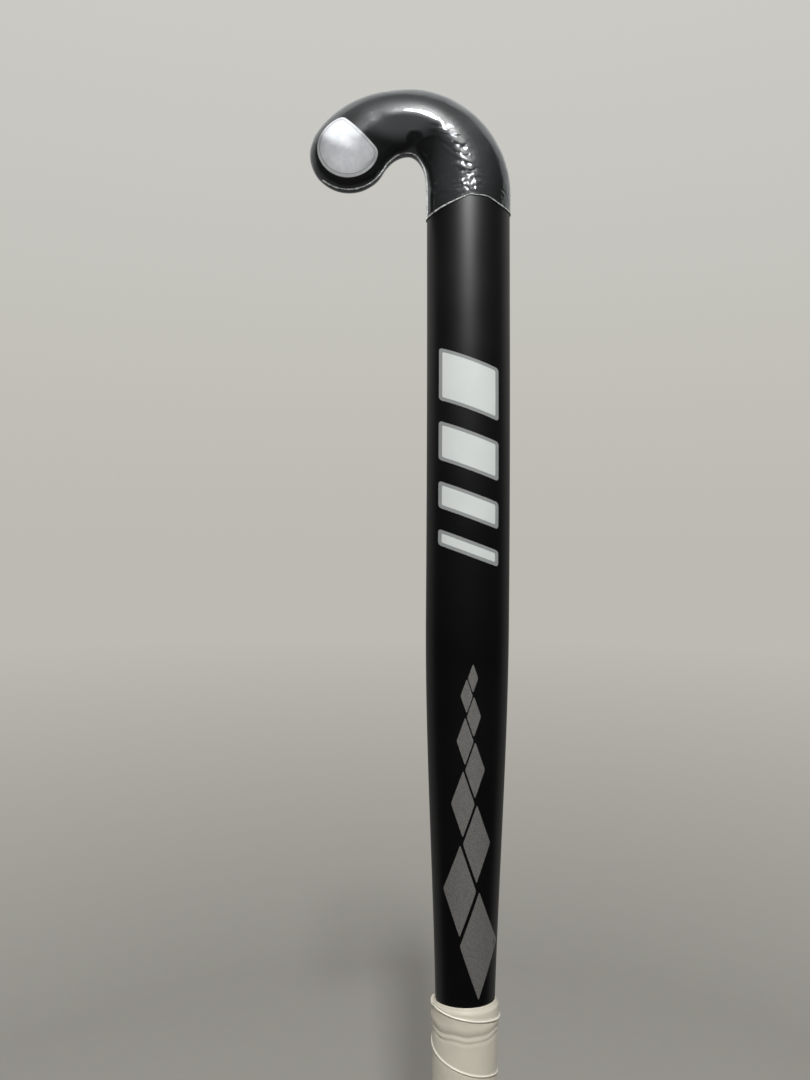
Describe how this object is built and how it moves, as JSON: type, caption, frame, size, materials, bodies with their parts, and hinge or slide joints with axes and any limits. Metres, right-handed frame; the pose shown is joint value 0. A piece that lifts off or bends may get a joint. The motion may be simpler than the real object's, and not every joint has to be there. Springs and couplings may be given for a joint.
{
  "type": "field hockey stick",
  "caption": "Composite field hockey stick with a short hooked head, flat playing face, bowed D-section shaft, taped oval handle and clear film over the head, for striking a ball.",
  "frame": {"origin": "the middle of the butt's flat end face", "axes": "+Z along the shaft to the head, -X from the shaft to the toe, -Y out of the rounded back, +Y out of the flat playing face"},
  "size_m": [0.1201, 0.0526, 0.9276],
  "materials": {
    "lacquered_laminate": "satin",
    "bare_laminate": "satin",
    "cell_foam": "matte",
    "core_foam": "matte",
    "cap_nylon": "satin",
    "grip_tape": "matte",
    "finishing_strip": "satin",
    "clear_film": "gloss"
  },
  "bodies": {
    "root": {"outer_laminate": "lacquered_laminate", "toe_cell_tube": "bare_laminate", "heel_cell_tube": "bare_laminate", "toe_cell_foam": "cell_foam", "heel_cell_foam": "cell_foam", "head_core": "core_foam", "butt_plug": "core_foam", "butt_cap": "cap_nylon", "grip_tape": "grip_tape", "finishing_strip": "finishing_strip", "head_film": "clear_film"}
  },
  "joints": []
}
